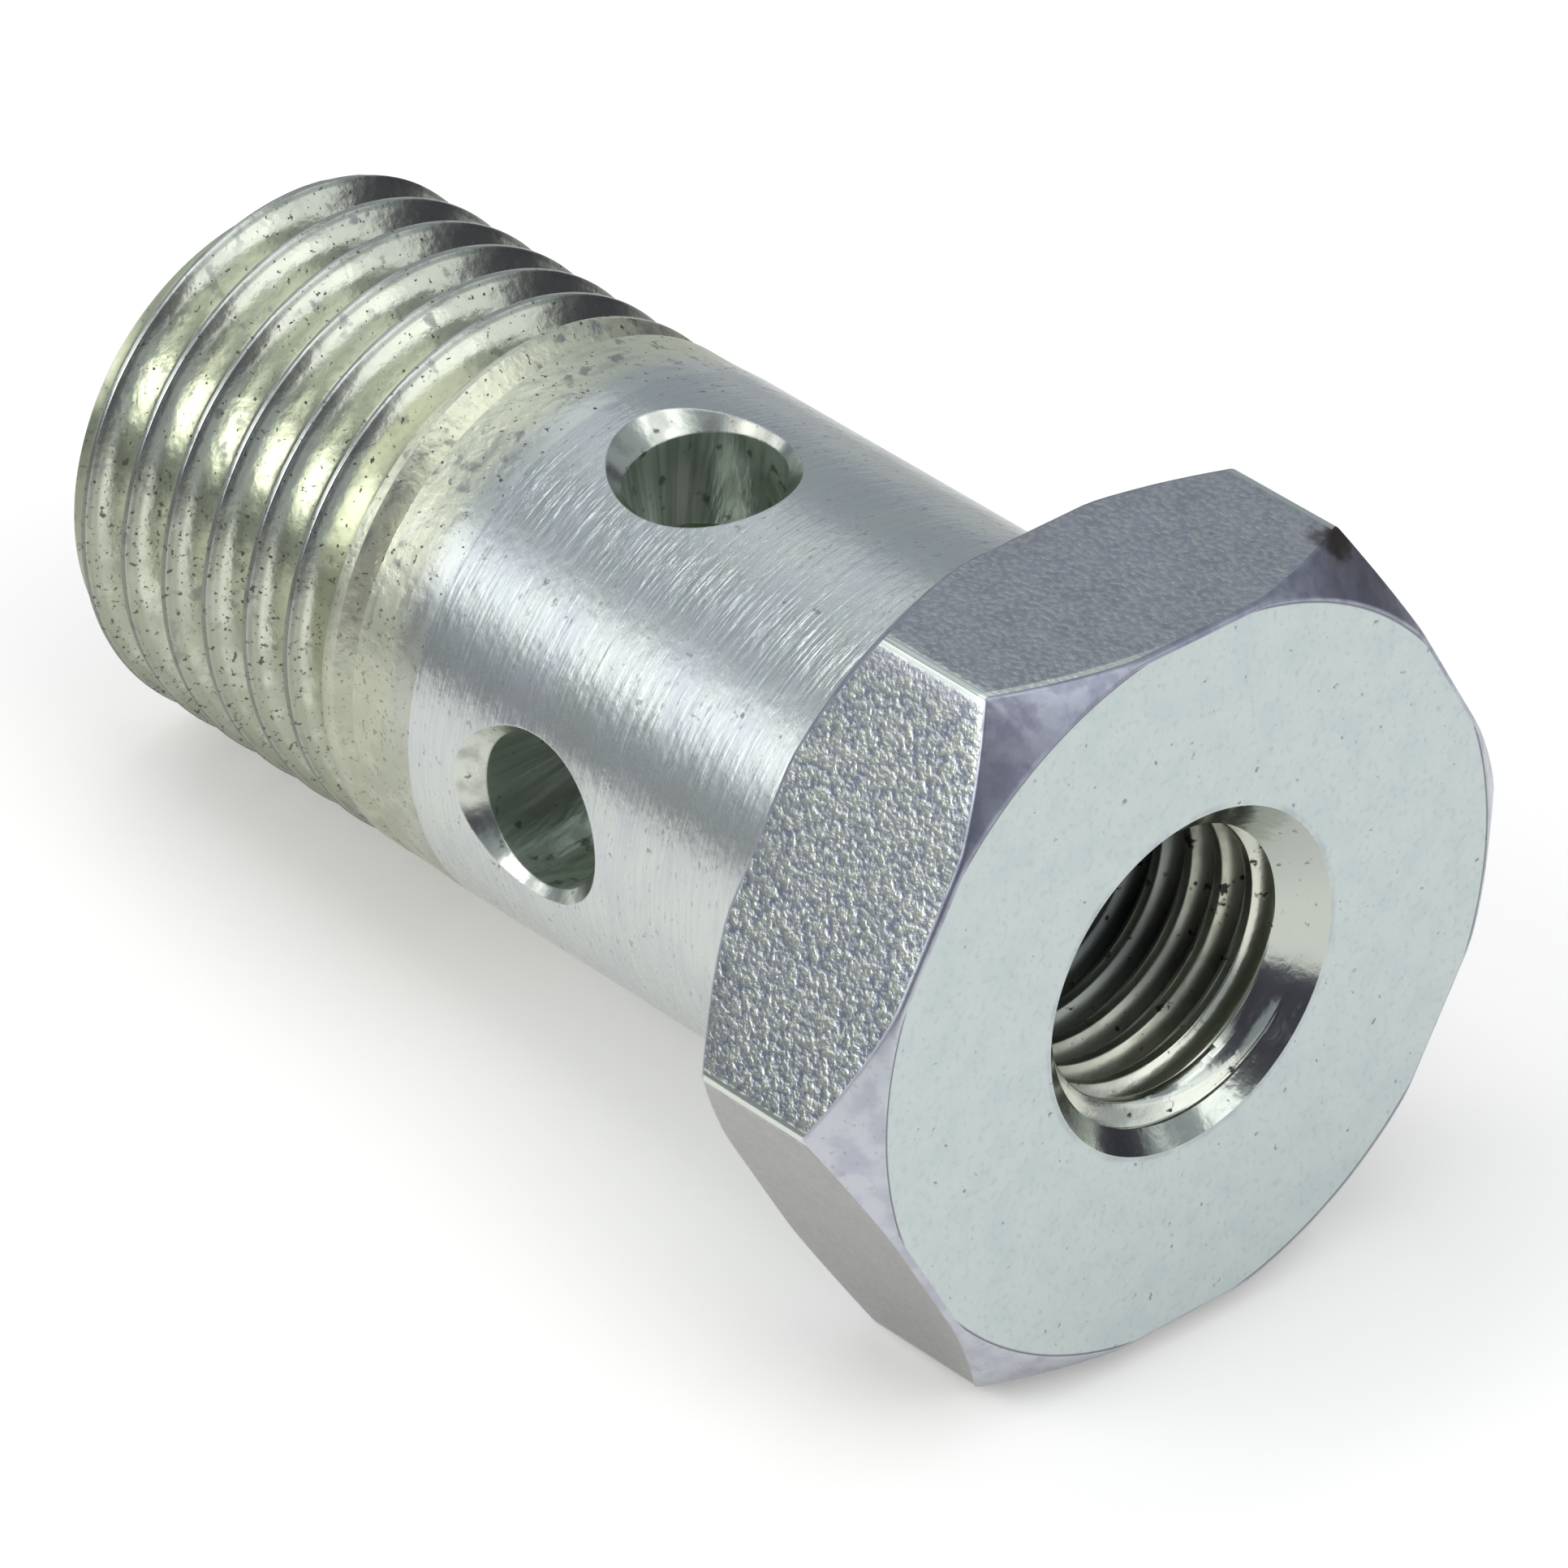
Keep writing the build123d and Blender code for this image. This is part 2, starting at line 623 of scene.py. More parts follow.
@dataclass(frozen=True)
class AxialBores:
    """Bore from the thread end, its drill point, and the tapped hole to the head's face."""

    sizes: BoltSizes
    pitch: float = 1.0
    crest_station: float = 0.52
    crest_rounding: float = 0.06
    root_rounding: float = 0.10
    mouth_rounding: float = 0.08
    rows: int = 12

    @property
    def _point_end(self) -> float:
        """Where the drill point opens to the full bore.

        Returns:
            The station.
        """
        s = self.sizes
        half_angle = math.radians(s.drill_point_angle / 2)
        return s.tap_length + (s.bore_dia - s.tap_minor_dia) / 2 / math.tan(half_angle)

    def _hole(self, station: np.ndarray) -> np.ndarray:
        """Radius of the drilled and countersunk hole before tapping.

        Args:
            station: distances along the axis.

        Returns:
            The hole's radius at each of them.
        """
        s = self.sizes
        mouth, minor, bore = s.mouth_dia / 2, s.tap_minor_dia / 2, s.bore_dia / 2
        stations = [0.0, mouth - minor, s.tap_length, self._point_end]
        return np.interp(station, stations, [mouth, minor, minor, bore])

    def lay(self, skin: TurnedSkin) -> None:
        """Add the bore and the tapped hole, from the thread end back to the head.

        Args:
            skin: the skin that takes them.
        """
        s = self.sizes
        bore, step = s.bore_dia / 2, s.bore_end_chamfer
        rings = [skin.ring(bore + step, s.total_length)]
        stations = between(s.total_length - step, self._point_end, self.rows)
        rings += [skin.ring(bore, station) for station in stations]
        skin.add(rings, Zone.BORED)
        form = ThreadForm(
            pitch=self.pitch,
            crest_radius=s.tap_minor_dia / 2,
            depth=(s.bore_dia - s.tap_minor_dia) / 2,
            crest_flat=self.pitch / 4,
            crest_rounding=self.crest_rounding,
            root_rounding=self.root_rounding,
        )
        rows = HelicalRows(form, 0.0, self._point_end, self.crest_station)
        rings, turn = rows.rings(skin, -1.0, np.zeros_like, self._hole)
        skin.add(rings[::-1], Zone.TAPPED, -turn)
        lip = skin.ring(s.mouth_dia / 2 + self.mouth_rounding, 0.0)
        skin.add([skin.ring(s.mouth_dia / 2, 0.0), lip], Zone.FACED)


@dataclass(frozen=True)
class CrossDrilling:
    """A drilling through both walls of the shank, countersunk at each mouth."""

    sizes: BoltSizes
    station: float
    turn: float
    segments: int = 96
    overreach: float = 2.0  # how far the cutter stands out of the shank
    weld: float = 1e-5
    slack: float = 1e-3  # rounding allowed in telling the countersink from the wall

    def cutter(self, name: str) -> Object:
        """The drill and its countersinks as one solid to cut with.

        Args:
            name: name of the object.

        Returns:
            A mesh object in the bolt frame, in millimetres.
        """
        s = self.sizes
        radius = s.cross_dia / 2
        sink = s.cross_mouth_dia / 2 - radius
        flare = s.shank_dia / 2 - sink
        outer = flare + self.overreach
        wide = radius + self.overreach
        outline = [(0.0, -outer), (wide, -outer), (radius, -flare)]
        outline += [(radius, -0.5 * flare), (radius, 0.0), (radius, 0.5 * flare)]
        outline += [(radius, flare), (wide, outer), (0.0, outer)]
        work = bmesh.new()
        points = [work.verts.new((r, 0.0, z)) for r, z in outline]
        edges = [work.edges.new(pair) for pair in zip(points, points[1:])]
        bmesh.ops.spin(
            work,
            geom=points + edges,
            cent=(0, 0, 0),
            axis=(0, 0, 1),
            angle=2.0 * math.pi,
            steps=self.segments,
            use_merge=True,
        )
        bmesh.ops.remove_doubles(work, verts=work.verts, dist=self.weld)
        bmesh.ops.recalc_face_normals(work, faces=work.faces)
        for face in work.faces:
            reach = max(math.hypot(v.co.x, v.co.y) for v in face.verts)
            zone = Zone.COUNTERSUNK if reach > radius + self.slack else Zone.DRILLED
            face.material_index = zone.value
        mesh = bpy.data.meshes.new(name)
        work.to_mesh(mesh)
        work.free()
        mesh.transform(
            Matrix.Translation((0, 0, s.head_height + self.station))
            @ Matrix.Rotation(math.radians(self.turn), 4, "Z")
            @ Matrix.Rotation(math.radians(90.0), 4, "Y")
        )
        return put(name, mesh)


@dataclass(frozen=True)
class BanjoBolt:
    """The whole bolt: one skin with two cross drillings."""

    sizes: BoltSizes
    materials: dict[Zone, Material]
    thread_zone_start: float = 19.2
    sharp_angle: float = 40.0

    def build(self) -> Object:
        """Make the bolt and lay it down in the row frame.

        Returns:
            The bolt's object, with its materials and smooth shading.
        """
        skin = TurnedSkin(Columns(self.sizes))
        HexagonHead(self.sizes).lay(skin)
        Shank(self.sizes, self.thread_zone_start).lay(skin)
        ThreadedEnd(self.sizes, self.thread_zone_start).lay(skin)
        AxialBores(self.sizes).lay(skin)
        mesh = skin.mesh("banjo_bolt_skin")
        log.info("skin: %d faces", len(mesh.polygons))
        bolt = put("banjo_bolt_dressed", mesh)
        for zone in Zone:
            mesh.materials.append(self.materials[zone])
        s = self.sizes
        first = CrossDrilling(s, s.first_cross_station, s.first_cross_turn)
        second = CrossDrilling(s, s.second_cross_station, s.second_cross_turn)
        self._cut(bolt, first, "first")
        self._cut(bolt, second, "second")
        mesh = bolt.data
        mesh.transform(BoltFrame(self.sizes).matrix)
        mesh.polygons.foreach_set("use_smooth", [True] * len(mesh.polygons))
        mesh.set_sharp_from_angle(angle=math.radians(self.sharp_angle))
        weighted = bolt.modifiers.new("even_shading", "WEIGHTED_NORMAL")
        weighted.keep_sharp = True
        return bolt

    def _cut(self, bolt: Object, drilling: CrossDrilling, name: str) -> None:
        """Cut one drilling through the bolt and clear the cutter away.

        Args:
            bolt: the bolt's object.
            drilling: the drilling to cut.
            name: which drilling it is.
        """
        cutter = drilling.cutter(f"{name}_drill")
        for zone in Zone:
            cutter.data.materials.append(self.materials[zone])
        cut = bolt.modifiers.new(name, "BOOLEAN")
        cut.operation = "DIFFERENCE"
        cut.solver = "EXACT"
        cut.material_mode = "INDEX"
        cut.object = cutter
        graph = bpy.context.evaluated_depsgraph_get()
        done = bpy.data.meshes.new_from_object(bolt.evaluated_get(graph))
        old, bolt.data = bolt.data, done
        bolt.modifiers.clear()
        bpy.data.meshes.remove(old)
        bpy.data.meshes.remove(cutter.data)


# ---- finishes ----


def linear(colour: str) -> tuple[float, float, float, float]:
    """Turn an sRGB hex colour to linear values.

    Args:
        colour: six hex digits, with a leading #.

    Returns:
        Red, green, blue and an alpha of 1.
    """
    channels = [int(colour[i : i + 2], 16) / 255 for i in (1, 3, 5)]
    low = [c / 12.92 if c <= 0.04045 else ((c + 0.055) / 1.055) ** 2.4 for c in channels]
    return low[0], low[1], low[2], 1.0


MATH = "ShaderNodeMath"
VECTOR_MATH = "ShaderNodeVectorMath"


def add(tree: NodeTree, kind: str, inputs: dict[Any, Any], **settings: Any) -> Any:
    """Add a node, set its properties and fill or link its inputs.

    Args:
        tree: the node tree.
        kind: the node's type name.
        inputs: value or output socket for each input, by name or number.
        settings: the node's own properties.

    Returns:
        The new node.
    """
    node = tree.nodes.new(kind)
    for key, value in settings.items():
        setattr(node, key, value)
    for key, value in inputs.items():
        if isinstance(value, NodeSocket):
            tree.links.new(value, node.inputs[key])
        else:
            node.inputs[key].default_value = value
    return node


def bare_material(name: str) -> Material:
    """A new material with an empty node tree.

    Args:
        name: the real material and how its surface was made.

    Returns:
        The material.
    """
    material = bpy.data.materials.new(name)
    material.use_nodes = True
    material.node_tree.nodes.clear()
    return material


class PlaceGroup:
    """Node group that gives the shaded point's place in the bolt frame, in millimetres.

    Place is the point and Spoke the same point drawn out to the shank's surface. Radius,
    Station and Rise are its distance from the axis, along the axis and towards the top
    flat. Flare is constant on the countersink of the tapped hole and Crease on the head's
    front chamfer. Round is the direction round the axis.
    """

    def __init__(self, lie: BoltFrame) -> None:
        """Make the group.

        Args:
            lie: how the bolt lies in the row frame.
        """
        group = self.group = bpy.data.node_groups.new("bolt_place", "ShaderNodeTree")
        for name in ("Place", "Spoke", "Radius", "Station", "Flare", "Crease", "Rise", "Round"):
            vector = name in ("Place", "Spoke", "Round")
            kind = "NodeSocketVector" if vector else "NodeSocketFloat"
            group.interface.new_socket(name, in_out="OUTPUT", socket_type=kind)
        lie_turn = lie.matrix.to_3x3().normalized()
        point = add(group, "ShaderNodeTexCoord", {}).outputs["Object"]
        lay_back = {
            "Vector": point,
            "Location": lie.matrix.translation,
            "Rotation": lie_turn.to_euler(),
            "Scale": (METRE, METRE, METRE),
        }
        mapping = add(group, "ShaderNodeMapping", lay_back, vector_type="TEXTURE")
        place = mapping.outputs["Vector"]
        split = add(group, "ShaderNodeSeparateXYZ", {0: place})
        station = split.outputs["Z"]
        flat = add(group, VECTOR_MATH, {0: place, 1: (1, 1, 0)}, operation="MULTIPLY")
        length = add(group, VECTOR_MATH, {0: flat.outputs[0]}, operation="LENGTH")
        radius = length.outputs["Value"]
        spoke = add(group, VECTOR_MATH, {0: flat.outputs[0]}, operation="NORMALIZE")
        along = add(group, VECTOR_MATH, {0: place, 1: (0, 0, 1)}, operation="MULTIPLY")
        shank = lie.sizes.shank_dia / 2
        drawn_out = {0: spoke.outputs[0], 1: (shank, shank, 0), 2: along.outputs[0]}
        spread = add(group, VECTOR_MATH, drawn_out, operation="MULTIPLY_ADD")
        away = add(group, VECTOR_MATH, {0: point, 1: lie.matrix.translation}, operation="SUBTRACT")
        arm = {0: lie_turn.col[2], 1: away.outputs[0]}
        around = add(group, VECTOR_MATH, arm, operation="CROSS_PRODUCT")
        tangent = add(group, VECTOR_MATH, {0: around.outputs[0]}, operation="NORMALIZE")
        flare = add(group, MATH, {0: radius, 1: station}, operation="ADD")
        lean = add(group, MATH, {0: radius, 1: lie.chamfer_slope}, operation="MULTIPLY")
        crease = add(group, MATH, {0: lean.outputs[0], 1: station}, operation="SUBTRACT")
        ends = {
            "Place": place,
            "Spoke": spread.outputs[0],
            "Radius": radius,
            "Station": station,
            "Flare": flare.outputs[0],
            "Crease": crease.outputs[0],
            "Rise": split.outputs["X"],
            "Round": tangent.outputs[0],
        }
        add(group, "NodeGroupOutput", ends)

    def outputs(self, tree: NodeTree) -> Any:
        """Add the group to a material's tree, for its outputs."""
        return add(tree, "ShaderNodeGroup", {}, node_tree=self.group).outputs


Edge = tuple[NodeSocket, float, float]  # a measure, where it gives 0 and where it gives 1


class Mask:
    """Where something lies on the bolt, as a factor from 0 to 1."""

    def factor(self, tree: NodeTree, place: Any) -> NodeSocket:
        """Add the mask's nodes, which end in a smooth step from 0 to 1.

        Args:
            tree: the material's node tree.
            place: outputs of the place group.

        Returns:
            The socket that carries the factor.
        """
        value, low, high = self.edge(tree, place)
        limits = {"Value": value, "From Min": low, "From Max": high}
        step = add(tree, "ShaderNodeMapRange", limits, interpolation_type="SMOOTHSTEP")
        return step.outputs["Result"]

    def edge(self, tree: NodeTree, place: Any) -> Edge:
        """Add the nodes that measure what the mask's edge depends on."""
        raise NotImplementedError


@dataclass(frozen=True)
class Grain(Mask):
    """Noise with its own size, in millimetres, round the bolt and along it.

    It shows from its low limit to its high one. With spokes, it keeps one value all along
    a radius, as marks in a cross hole do.
    """

    across: float
    along: float
    low: float = 0.4
    high: float = 0.6
    detail: float = 2.0
    spokes: bool = False

    def edge(self, tree: NodeTree, place: Any) -> Edge:
        """Add stretched noise.

        Args:
            tree: the material's node tree.
            place: outputs of the place group.

        Returns:
            The measure, and its values where the factor is 0 and where it is 1.
        """
        size = (1 / self.across, 1 / self.across, 1 / self.along)
        start = place["Spoke" if self.spokes else "Place"]
        scaled = add(tree, VECTOR_MATH, {0: start, 1: size}, operation="MULTIPLY").outputs[0]
        inputs = {"Vector": scaled, "Scale": 1.0, "Detail": self.detail}
        noise = add(tree, "ShaderNodeTexNoise", inputs)
        return noise.outputs["Fac"], self.low, self.high


@dataclass(frozen=True)
class Band(Mask):
    """A band with soft edges, of one of the place group's measures."""

    measure: str
    middle: float
    half: float
    soft: float

    def edge(self, tree: NodeTree, place: Any) -> Edge:
        """Take the distance from the band's middle.

        Args:
            tree: the material's node tree.
            place: outputs of the place group.

        Returns:
            The measure, and its values where the factor is 0 and where it is 1.
        """
        off = add(tree, MATH, {0: place[self.measure], 1: self.middle}, operation="SUBTRACT")
        away = add(tree, MATH, {0: off.outputs[0]}, operation="ABSOLUTE")
        return away.outputs[0], self.half + self.soft, self.half


@dataclass(frozen=True)
class Spot(Mask):
    """A patch round a point, with a ragged edge."""

    centre: tuple[float, float, float]
    reach: float
    ragged: float = 0.5
    lumps: float = 1.6  # lumps of its edge in one reach
    detail: float = 3.0
    solid: float = 0.6  # share of its reach within which it is full

    def edge(self, tree: NodeTree, place: Any) -> Edge:
        """Take the distance from the centre, made uneven by noise.

        Args:
            tree: the material's node tree.
            place: outputs of the place group.

        Returns:
            The measure, and its values where the factor is 0 and where it is 1.
        """
        here = place["Place"]
        away = add(tree, VECTOR_MATH, {0: here, 1: self.centre}, operation="DISTANCE")
        inputs = {"Vector": here, "Scale": self.lumps / self.reach, "Detail": self.detail}
        noise = add(tree, "ShaderNodeTexNoise", inputs)
        swing = 2 * self.ragged * self.reach
        pushed = {0: noise.outputs["Fac"], 1: swing, 2: away.outputs["Value"]}
        uneven = add(tree, MATH, pushed, operation="MULTIPLY_ADD")
        rim = self.reach * (1 + self.ragged)
        return uneven.outputs[0], rim, self.solid * rim


@dataclass(frozen=True)
class Both(Mask):
    """Where two masks lie over each other."""

    first: Mask
    second: Mask

    def factor(self, tree: NodeTree, place: Any) -> NodeSocket:
        """Multiply the two."""
        factors = {0: self.first.factor(tree, place), 1: self.second.factor(tree, place)}
        return add(tree, MATH, factors, operation="MULTIPLY").outputs[0]


@dataclass(frozen=True)
class Outside(Mask):
    """Everywhere but under a mask."""

    of: Mask

    def factor(self, tree: NodeTree, place: Any) -> NodeSocket:
        """Take the mask from 1."""
        under = self.of.factor(tree, place)
        return add(tree, MATH, {0: 1.0, 1: under}, operation="SUBTRACT").outputs[0]


@dataclass(frozen=True)
class Layer:
    """A colour and roughness that the surface takes where a mask lies."""

    mask: Mask
    colour: str
    strength: float
    roughness: float


@dataclass(frozen=True)
class Relief:
    """Height, in millimetres, that a mask adds to the surface."""

    mask: Mask
    height: float


@dataclass(frozen=True)
class ZincFinish:
    """Zinc plate with a clear passivation, over steel shaped in one way."""

    name: str
    colour: str
    roughness: float
    layers: tuple[Layer, ...] = ()
    relief: tuple[Relief, ...] = ()
    anisotropy: float = 0.0
    worn_edge: float = 0.0

    def build(self, places: PlaceGroup) -> Material:
        """Make the material.

        Args:
            places: the group that gives places on the bolt.

        Returns:
            The material.
        """
        material = bare_material(self.name)
        tree = material.node_tree
        place = places.outputs(tree)
        inputs: dict[Any, Any] = {
            "Metallic": 1.0,
            "Base Color": linear(self.colour),
            "Roughness": self.roughness,
        }
        for layer in self.layers:
            self._lay(tree, place, layer, inputs)
        if self.anisotropy:
            inputs["Anisotropic"] = self.anisotropy
            inputs["Tangent"] = place["Round"]
        if self.worn_edge:
            rounded = add(tree, "ShaderNodeBevel", {"Radius": self.worn_edge * METRE}, samples=4)
            inputs["Normal"] = rounded.outputs["Normal"]
        for relief in self.relief:
            height = relief.mask.factor(tree, place)
            bump = {"Height": height, "Distance": relief.height * METRE}
            if "Normal" in inputs:
                bump["Normal"] = inputs["Normal"]
            inputs["Normal"] = add(tree, "ShaderNodeBump", bump).outputs["Normal"]
        shader = add(tree, "ShaderNodeBsdfPrincipled", inputs)
        add(tree, "ShaderNodeOutputMaterial", {"Surface": shader.outputs["BSDF"]})
        return material

    @staticmethod
    def _lay(tree: NodeTree, place: Any, layer: Layer, inputs: dict[Any, Any]) -> None:
        """Mix one layer into the colour and the roughness.

        Args:
            tree: the material's node tree.
            place: outputs of the place group.
            layer: the layer.
            inputs: inputs of the shader so far, changed in place.
        """
        factors = {0: layer.mask.factor(tree, place), 1: layer.strength}
        share = add(tree, MATH, factors, operation="MULTIPLY").outputs[0]
        # A Mix node takes colours at its sockets 6 and 7, and numbers at 2 and 3.
        mixed = {0: share, 6: inputs["Base Color"], 7: linear(layer.colour)}
        inputs["Base Color"] = add(tree, "ShaderNodeMix", mixed, data_type="RGBA").outputs[2]
        if layer.roughness != inputs["Roughness"]:
            mixed = {0: share, 2: inputs["Roughness"], 3: layer.roughness}
            inputs["Roughness"] = add(tree, "ShaderNodeMix", mixed).outputs[0]


# Places that the finishes share, in the bolt frame's millimetres.

UNDERSIDE = Band("Rise", -4.0, 6.2, 1.4)  # lower part of the thread: dirt specks, darker tones and painted shade
CUT_TURNS = Band("Station", 28.4, 5.8, 0.5)  # turns cut to their full depth
SIDE_FLATS = Band("Rise", 4.3, 4.2, 0.9)  # the flats next to the top one, painted a darker blue-grey shade
LOW_FLATS = Band("Rise", -6.0, 5.5, 0.6)  # the three flats that face down, painted a warmer, darker grey shade
UPPER_CORNERS = Band("Rise", 8.9, 3.4, 1.5)  # chamfers at both ends of the top flat, painted darker and violet: painted shade
CORNER = Band("Radius", 10.86, 0.08, 0.04)  # edges between two flats, painted lighter: wear with a painted highlight
BLOBS = Grain(0.16, 0.16, 0.3, 0.74, 2.0)  # rounded grains of the drawn skin, painted pale: partly a painted sparkle
BROWN_PATCH = Spot((9.3, 5.2, 0.9), 0.95, 0.7)  # dirt on one corner of the head
STAINS = Both(Grain(0.5, 0.5, 0.58, 0.7, 3.0), Grain(2.5, 2.5))  # gathered in places

# Larger grains, which the side flats have, painted cream: partly a painted sparkle.
COARSE_BLOBS = Both(SIDE_FLATS, Grain(0.23, 0.23, 0.38, 0.64, 1.5))

# The crease between the top flat and the front chamfer, next to its near corner, painted near
# white: a rubbed edge with a painted highlight.
CREASE = Both(Band("Crease", 8.34, 0.15, 0.06), Spot((9.4, -3.6, 0.8), 3.4, 0.4))

# Mottled plate, darker there as painted shade, on the upper corners, and the broken rim of the
# tapped hole's mouth.
CORNER_MOTTLE = Both(UPPER_CORNERS, Grain(0.5, 0.5, 0.42, 0.62, 3.0))
MOUTH_RIM = Both(Band("Radius", 4.45, 0.02, 0.12), Grain(0.9, 0.9, 0.3, 0.7))

# A darker tone on the lower part of the outer thread, a darker line along its crests there, and
# the run-out's pits.
LOW_FILM = Both(Band("Rise", -6.0, 5.0, 3.0), Grain(0.8, 0.8, 0.3, 0.6, 3.0))
CREST_LINE = Both(Both(UNDERSIDE, CUT_TURNS), Band("Radius", 6.97, 0.03, 0.03))
RUNOUT_PITS = Both(Band("Station", 21.2, 1.0, 1.0), Grain(0.4, 0.4, 0.35, 0.65, 3.0))

# A darker tone deep in the grooves of the tapped hole.
GROOVE_DIRT = Both(Band("Radius", 4.0, 0.26, 0.14), Band("Station", 7.2, 5.2, 0.5))


